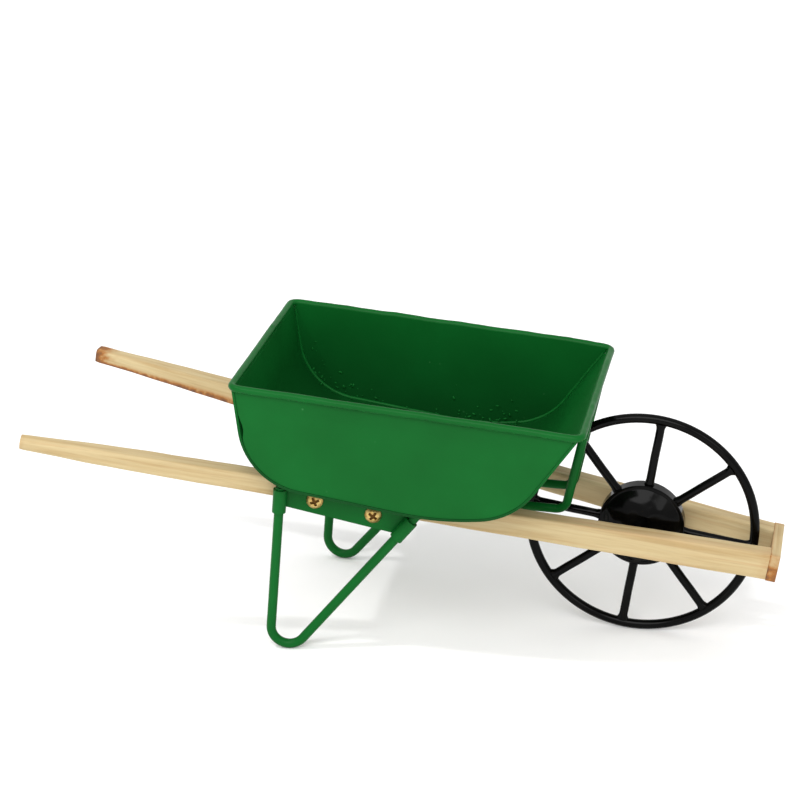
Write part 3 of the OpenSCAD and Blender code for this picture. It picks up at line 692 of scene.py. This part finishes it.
def makeScrew(node, side, turn):
    # a domed head with a stamped cross recess, grime and painted shade in the recess and round the head's edge,
    # and its plain shank
    bm = bmesh.new()
    stain = bm.verts.layers.float.new("stain")
    bmesh.ops.create_grid(bm, x_segments=56, y_segments=56, size=1)
    radius = screw["head"] / 2
    arm = screw["armWidth"] / 2
    for vert in bm.verts:
        x, y, _ = vert.co
        u, v = x * sqrt(1 - y * y / 2) * radius, y * sqrt(1 - x * x / 2) * radius
        r = hypot(u, v)
        dome = screw["edge"] + (screw["height"] - screw["edge"]) * (1 - (r / radius) ** 2.2)
        inArms = 0
        for p, q in ((u, v), (v, u)):
            wide = arm * (1 + 0.5 * bell(abs(p), 0.25))
            within = 1 - smooth(abs(q), wide * 0.7, wide * 1.35)
            reach = screw["armLength"] / 2
            inArms = max(inArms, within * (1 - smooth(abs(p), reach - 0.12, reach + 0.06)))
        vert.co = Vector((u, v, dome - inArms * screw["deep"]))
        # grime and painted shade: darker deep in the cross recess and towards the head's edge
        vert[stain] = min(1, inArms * 0.95 + 0.25 * smooth(r, radius * 0.9, radius))
    rim = boundaryEdges(bm)
    for size, drop in ((1, screw["edge"]), (screw["shank"] / screw["head"], 0),
                       (1, screw["plate"] + screw["bite"])):
        grown = bmesh.ops.extrude_edge_only(bm, edges=rim)
        moved = partsOf(grown, bmesh.types.BMVert)
        bmesh.ops.scale(bm, vec=(size, size, 1), verts=moved)
        bmesh.ops.translate(bm, vec=(0, 0, -drop), verts=moved)
        rim = partsOf(grown, bmesh.types.BMEdge)
    bmesh.ops.holes_fill(bm, edges=boundaryEdges(bm))
    bmesh.ops.rotate(bm, cent=(0, 0, 0), matrix=Matrix.Rotation(radians(turn), 3, "Z"),
                     verts=bm.verts)
    out = Vector((splaySlope, side, 0)).normalized()
    headFace = middleOf(node) + out * (screw["plate"] + screw["bite"] - screw["height"]) / 2
    upright = Vector((0, 0, 1))
    along = upright.cross(out)
    turned = Matrix((along, upright, out)).transposed().to_4x4()
    bmesh.ops.transform(bm, matrix=Matrix.Translation(headFace) @ turned, verts=bm.verts)
    first, *rest = node.split("_")
    name = first + "".join(word.capitalize() for word in rest)
    return finishPiece(bm, name, "barrow", brassPlate, [node], 50)


screwPlaces = [("rear_right", -1), ("front_right", -1), ("rear_left", 1), ("front_left", 1)]
for (corner, side), turn in zip(screwPlaces, screw["turns"]):
    makeScrew("screw_" + corner, side, turn)
print("screws made")


wheel = {"rimBar": 1.8, "spoke": 1.65, "radius": 22.3, "hub": 16.4, "disc": 2.3, "phase": 36.7,
         "bite": 4.4, "web": 0.5, "webLength": 1.2}


def makeSpoke(index):
    # a round spoke with a fillet of brazing and enamel where it runs into the rim and the hub
    bm = bmesh.new()
    inner = wheel["hub"] / 2 - wheel["bite"]
    outer = wheel["radius"] - wheel["rimBar"] + 0.25
    roundBar(bm, wheel["spoke"] / 2, 20, (inner, 0, 0), outer - inner, 60)
    bmesh.ops.holes_fill(bm, edges=boundaryEdges(bm))
    widest = wheel["web"] + 0.3 * ripple(Vector((index, 0, 0)), 0.7, 1)
    hubEdge = wheel["hub"] / 2
    for vert in bm.verts:
        x = vert.co.x
        web = smooth(x, outer - wheel["webLength"], outer) ** 1.5
        root = smooth(x, hubEdge + 1.0, hubEdge - 0.2) if x > hubEdge - 0.6 else 0
        vert.co.z *= 1 + widest * web + 0.22 * root
        vert.co.y *= 1 + 0.06 * web
        vert.co.z += 0.05 * ripple(Vector((x, index * 5, 0)), 4, 9)
    turned = Matrix.Rotation(-radians(wheel["phase"] + 45 * index), 4, "Y")
    bmesh.ops.transform(bm, matrix=Matrix.Translation(axle) @ turned, verts=bm.verts)
    return finishPiece(bm, "spoke" + str(index), "wheel", blackEnamel, ["spoke_" + str(index)],
                       50)


cap = {"lip": 0.6, "lipThick": 0.35, "dome": 2.5, "nose": 3.2, "dimple": 0.22}


def makeCap(side, node, name):
    # a pressed dome, slightly dimpled, with a thin flat lip and a hole for the hub's nose
    bm = bmesh.new()
    edge = wheel["hub"] / 2
    base = edge - cap["lip"]
    curve = (base ** 2 + cap["dome"] ** 2) / (2 * cap["dome"])
    start = bmesh.ops.create_vert(bm, co=(cap["nose"] / 2, 0, 0))["vert"]
    steps = 34
    bmesh.ops.spin(bm, geom=start, cent=(0, 0, 0), axis=(0, 0, 1), angle=0,
                   dvec=((edge - cap["nose"] / 2) / steps, 0, 0), steps=steps)
    for vert in bm.verts:
        r = vert.co.x
        if r < base:
            vert.co.z = cap["lipThick"] + sqrt(curve ** 2 - r ** 2) - (curve - cap["dome"])
            vert.co.z = min(vert.co.z, cap["dome"])
        else:
            vert.co.z = cap["lipThick"] * (1 - 0.6 * smooth(r, edge - 0.12, edge))
    bmesh.ops.spin(bm, geom=bm.verts[:] + bm.edges[:], cent=(0, 0, 0), axis=(0, 0, 1),
                   angle=2 * pi, steps=96, use_merge=True)
    bmesh.ops.remove_doubles(bm, verts=bm.verts, dist=0.001)
    for vert in bm.verts:
        r = hypot(vert.co.x, vert.co.y)
        onDome = smooth(r, edge, base - 1) * smooth(r, cap["nose"] / 2, cap["nose"] / 2 + 1)
        vert.co.z += cap["dimple"] * ripple(vert.co, 2.6, 41 + side) * onDome
    skirt = bmesh.ops.extrude_edge_only(bm, edges=boundaryEdges(bm))
    for vert in partsOf(skirt, bmesh.types.BMVert):
        vert.co.z = 0
    turned = Matrix.Rotation(pi / 2 * (-1 if side > 0 else 1), 4, "X")
    shift = Matrix.Translation(axle + Vector((0, side * wheel["disc"] / 2, 0)))
    bmesh.ops.transform(bm, matrix=shift @ turned, verts=bm.verts)
    return finishPiece(bm, name, "wheel", blackEnamel, [node], 40)


for index in range(1, 9):
    makeSpoke(index)
makeCap(-1, "hub_cap_right", "hubCapRight")
makeCap(1, "hub_cap_left", "hubCapLeft")
print("wheel made")


# CAD nodes that keep their own shape

finishes = {"leg_bracket": greenEnamel, "leg_rod": greenEnamel, "front_support": greenEnamel,
            "axle_pin": blackEnamel, "wheel_rim": blackEnamel, "hub_disc": blackEnamel}
for name, node in nodes.items():
    for start, material in finishes.items():
        if name.startswith(start):
            for slot in node.material_slots:
                slot.link = "OBJECT"
                slot.material = material


# Floor, lights and camera

stage = {"floor": 4, "paper": "#FAFAFA", "paperBright": "#FFFFFF", "mottle": 30, "world": 0.95,
         "lens": 111.7, "sensor": 36, "camera": (0.0811, -0.4325, 0.2163),
         "cameraDown": 21.370, "cameraTurn": 10.989}
lights = {  # place, target, width of the disc, watts
    "key": ((0.0, -0.65, 0.6), (0, 0, 0.03), 0.6, 3.6),
    "fill": ((0.5, -0.7, 0.45), (0, 0, 0.03), 0.35, 0.8),
    "glint": ((-0.35, -0.2, 0.7), (0.04, 0, 0.02), 0.04, 1.2)}

paper, tree = newMaterial("paper")
place = addNode(tree, "TexCoord", output="Object")
mottle = addNode(tree, "TexNoise", {"Vector": place, "Scale": scaleFor(stage["mottle"])})
speckle = addNode(tree, "ValToRGB", {"Fac": mottle}, stops=[
    (0.3, stage["paper"]), (0.7, stage["paperBright"])])
shader = addNode(tree, "BsdfPrincipled", {"Base Color": speckle, "Roughness": 0.9})
addNode(tree, "OutputMaterial", {"Surface": shader})
bm = bmesh.new()
bmesh.ops.create_grid(bm, x_segments=1, y_segments=1, size=stage["floor"])
floorMesh = bpy.data.meshes.new("floor")
bm.to_mesh(floorMesh)
bm.free()
floorMesh.materials.append(paper)
floor = bpy.data.objects.new("floor", floorMesh)
scene.collection.objects.link(floor)

world = bpy.data.worlds.new("studio")
world.use_nodes = True
background = world.node_tree.nodes["Background"]
background.inputs["Color"].default_value = (1, 1, 1, 1)
background.inputs["Strength"].default_value = stage["world"]
scene.world = world

for name, (place, target, width, watts) in lights.items():
    data = bpy.data.lights.new(name, "AREA")
    data.shape = "DISK"
    data.size = width
    data.energy = watts
    light = bpy.data.objects.new(name, data)
    light.location = place
    aim = Vector(target) - Vector(place)
    light.rotation_euler = aim.to_track_quat("-Z", "Y").to_euler()
    scene.collection.objects.link(light)

cameraData = bpy.data.cameras.new("camera")
cameraData.lens = stage["lens"]
cameraData.sensor_width = stage["sensor"]
camera = bpy.data.objects.new("camera", cameraData)
camera.location = stage["camera"]
camera.rotation_euler = (radians(90 - stage["cameraDown"]), 0, radians(stage["cameraTurn"]))
scene.collection.objects.link(camera)
scene.camera = camera
print("stage made")
